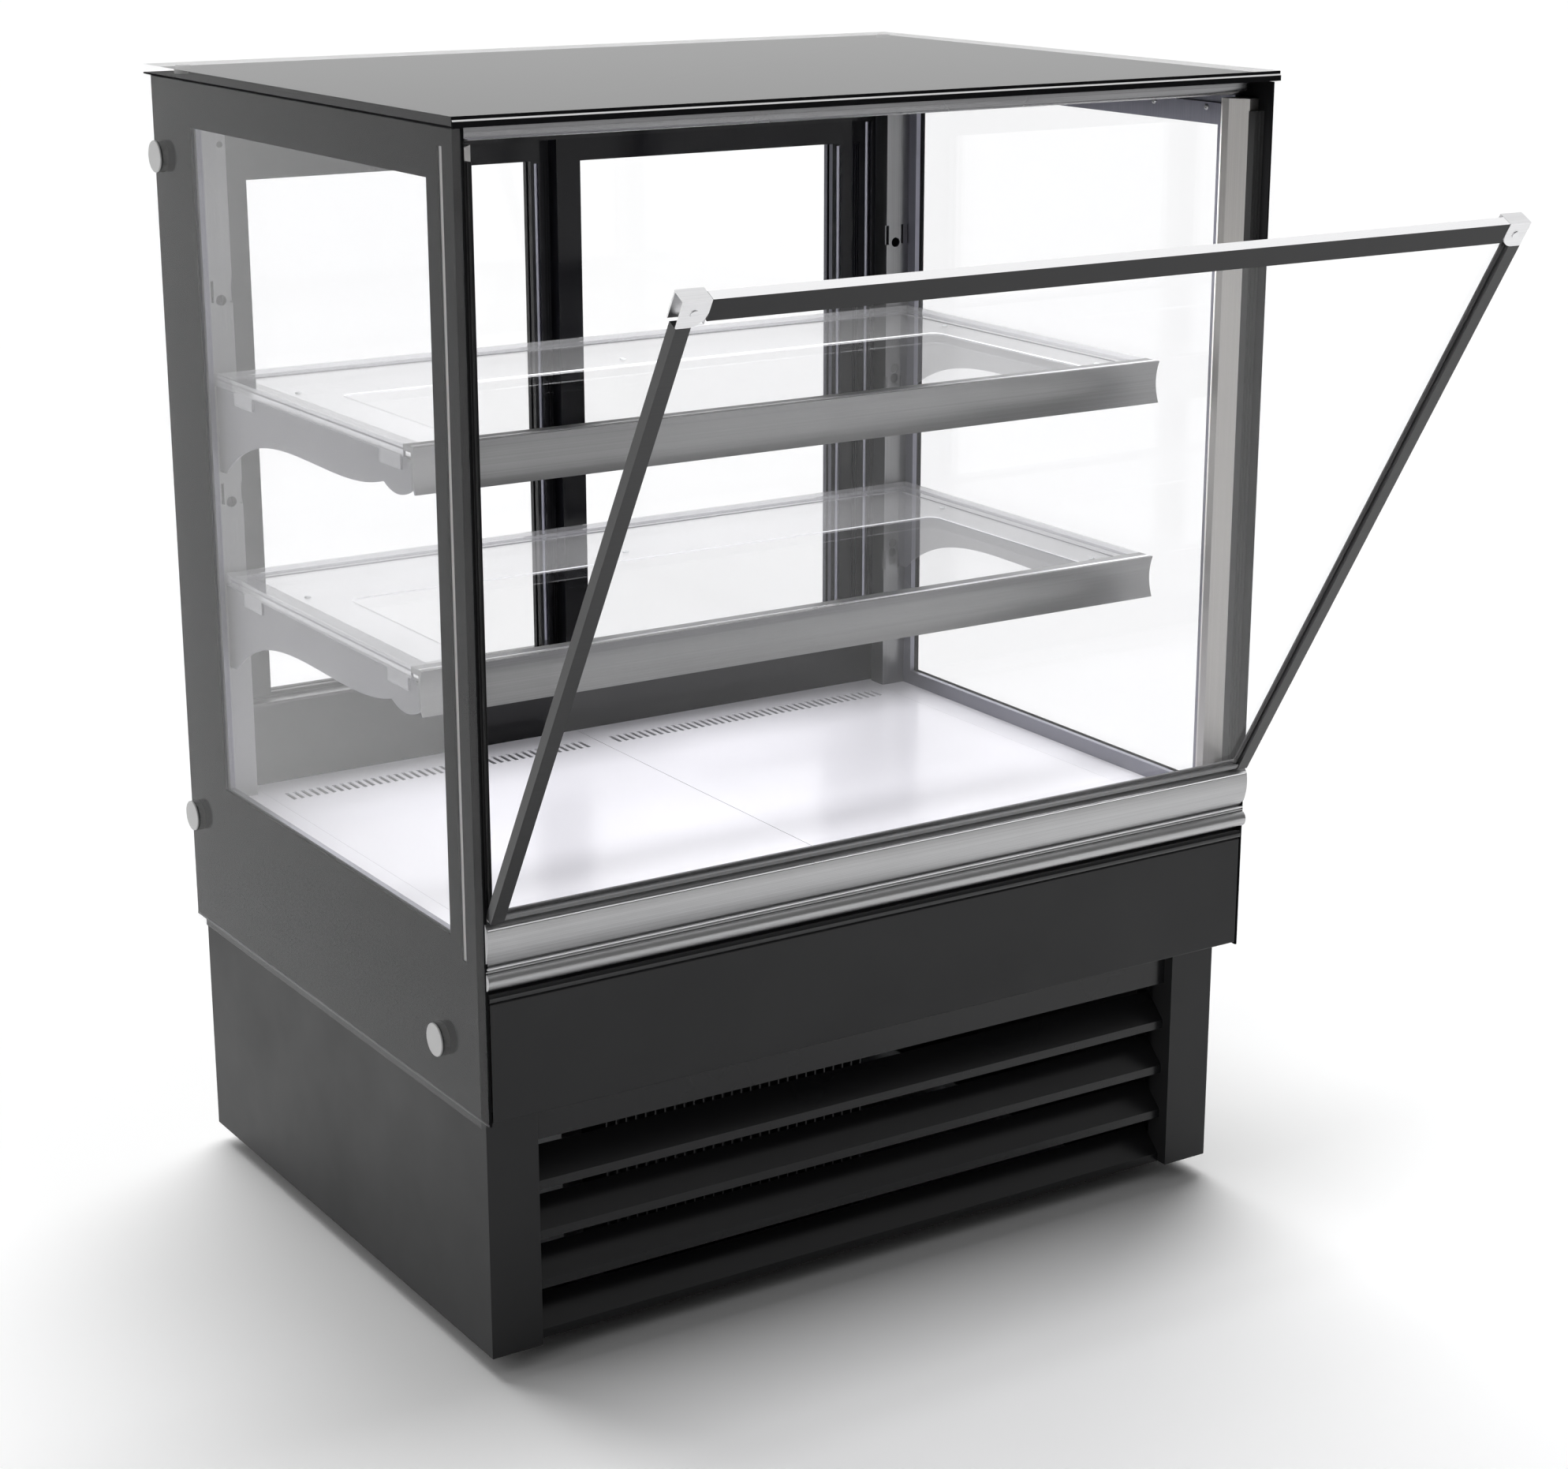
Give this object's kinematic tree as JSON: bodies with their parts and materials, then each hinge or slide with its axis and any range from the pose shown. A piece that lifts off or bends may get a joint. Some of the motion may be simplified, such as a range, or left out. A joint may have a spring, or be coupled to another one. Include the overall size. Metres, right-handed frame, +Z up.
{
  "type": "refrigerated display case",
  "caption": "Chilled counter display case: black plinth with a louvred front, glass walls and top, shelves on curved brackets, a tilting glass front door and sliding rear doors.",
  "frame": {"origin": "on the floor, under the middle of the box that the case and its open front door fill", "axes": "+Z up, +X to the right of a person who faces the front, -Y towards the customer"},
  "size_m": [0.9034, 1.036, 1.172],
  "materials": {
    "black_paint": "satin powder coat",
    "gloss_black": "gloss",
    "black_panel": "gloss skin on a foamed panel",
    "stainless": "fine horizontal brush",
    "white_paint": "gloss",
    "light_grey_paint": "satin",
    "frame_metal": "satin anodised",
    "dark_metal": "satin anodised, dark",
    "silver_metal": "satin anodised",
    "clear_glass": "polished",
    "milky_plastic": "milky, half clear plastic",
    "diffuser_plastic": "milky",
    "cap_plastic": "light grey, smooth",
    "black_rubber": "matt",
    "black_plastic": "fine grain",
    "grey_plastic": "fine grain",
    "galvanised": "zinc coated",
    "fin_metal": "plain"
  },
  "bodies": {
    "cabinet": {"plinth": "black_paint", "louvre_panel": "black_paint", "rear_grille": "black_paint", "side_skins": "black_paint", "front_fascia": "black_paint", "fan_shroud": "galvanised", "levelling_feet": "black_plastic", "mains_inlet": "black_plastic", "tank": "grey_plastic", "cover_panes": "clear_glass", "glass_bushes": "black_rubber", "pane_caps": "cap_plastic", "top_sheet": "gloss_black", "top_glass": "clear_glass", "sill_trim": "gloss_black", "front_sill": "stainless", "deck_pans": "white_paint", "deck_strips": "white_paint", "return_air_grille": "white_paint", "glazing_frames": "frame_metal", "window_panes": "clear_glass", "corner_lights": "silver_metal", "light_diffusers": "diffuser_plastic", "door_gaskets": "black_rubber", "cornice": "dark_metal", "rear_wall": "black_panel", "rear_track": "dark_metal", "rear_frame": "dark_metal", "uprights": "light_grey_paint", "brackets": "light_grey_paint", "shelf_plates": "clear_glass", "shelf_rails": "silver_metal", "shelf_rims": "milky_plastic", "hinge_blocks": "stainless", "evaporator_coil": "fin_metal", "fan_plate": "galvanised", "fan_motors": "galvanised", "unit_base": "galvanised", "compressor": "gloss_black", "condenser": "black_paint", "drain_pipe": "grey_plastic", "drip_tray": "grey_plastic", "control_housings": "black_plastic"},
    "front_door": {"door_bars": "dark_metal", "door_top_rail": "dark_metal", "door_bottom_rail": "stainless", "door_glass": "clear_glass", "door_corners": "silver_metal", "door_shoes": "stainless"},
    "rear_door_left": {"rear_door_frame_left": "dark_metal", "rear_door_pane_left": "clear_glass"},
    "rear_door_right": {"rear_door_frame_right": "dark_metal", "rear_door_pane_right": "clear_glass"},
    "evaporator_fan_left": {"evaporator_fan_left": "black_plastic"},
    "evaporator_fan_right": {"evaporator_fan_right": "black_plastic"},
    "condenser_fan": {"condenser_fan": "black_plastic"},
    "power_rocker": {"power_rocker": "black_plastic"},
    "light_rocker": {"light_rocker": "black_plastic"},
    "controller_key_1": {"controller_key_1": "grey_plastic"},
    "controller_key_2": {"controller_key_2": "grey_plastic"}
  },
  "joints": [
    {"name": "front_door_tilt", "type": "hinge", "parent": "cabinet", "child": "front_door", "pos_m": [0, -0.15774, 0.4559], "axis": [1, 0, 0], "range_deg": [-30, 0]},
    {"name": "rear_door_left_slide", "type": "slide", "parent": "cabinet", "child": "rear_door_left", "axis": [1, 0, 0], "range_m": [0, 0.36]},
    {"name": "rear_door_right_slide", "type": "slide", "parent": "cabinet", "child": "rear_door_right", "axis": [1, 0, 0], "range_m": [-0.36, 0]},
    {"name": "evaporator_fan_left_spin", "type": "hinge", "parent": "cabinet", "child": "evaporator_fan_left", "pos_m": [-0.175, 0.16401, 0.3495], "axis": [0, 1, 0], "continuous": true},
    {"name": "evaporator_fan_right_spin", "type": "hinge", "parent": "cabinet", "child": "evaporator_fan_right", "pos_m": [0.175, 0.16401, 0.3495], "axis": [0, 1, 0], "continuous": true},
    {"name": "condenser_fan_spin", "type": "hinge", "parent": "cabinet", "child": "condenser_fan", "pos_m": [-0.11, 0.03801, 0.1265], "axis": [0, 1, 0], "continuous": true},
    {"name": "power_rocker_tilt", "type": "hinge", "parent": "cabinet", "child": "power_rocker", "pos_m": [-0.17, 0.51131, 0.4595], "axis": [1, 0, 0], "range_deg": [0, 14]},
    {"name": "light_rocker_tilt", "type": "hinge", "parent": "cabinet", "child": "light_rocker", "pos_m": [-0.136, 0.51131, 0.4595], "axis": [1, 0, 0], "range_deg": [0, 14]},
    {"name": "controller_key_1_press", "type": "slide", "parent": "cabinet", "child": "controller_key_1", "axis": [0, -1, 0], "range_m": [0, 0.0012], "stiffness_N_per_m": 300},
    {"name": "controller_key_2_press", "type": "slide", "parent": "cabinet", "child": "controller_key_2", "axis": [0, -1, 0], "range_m": [0, 0.0012], "stiffness_N_per_m": 300}
  ]
}
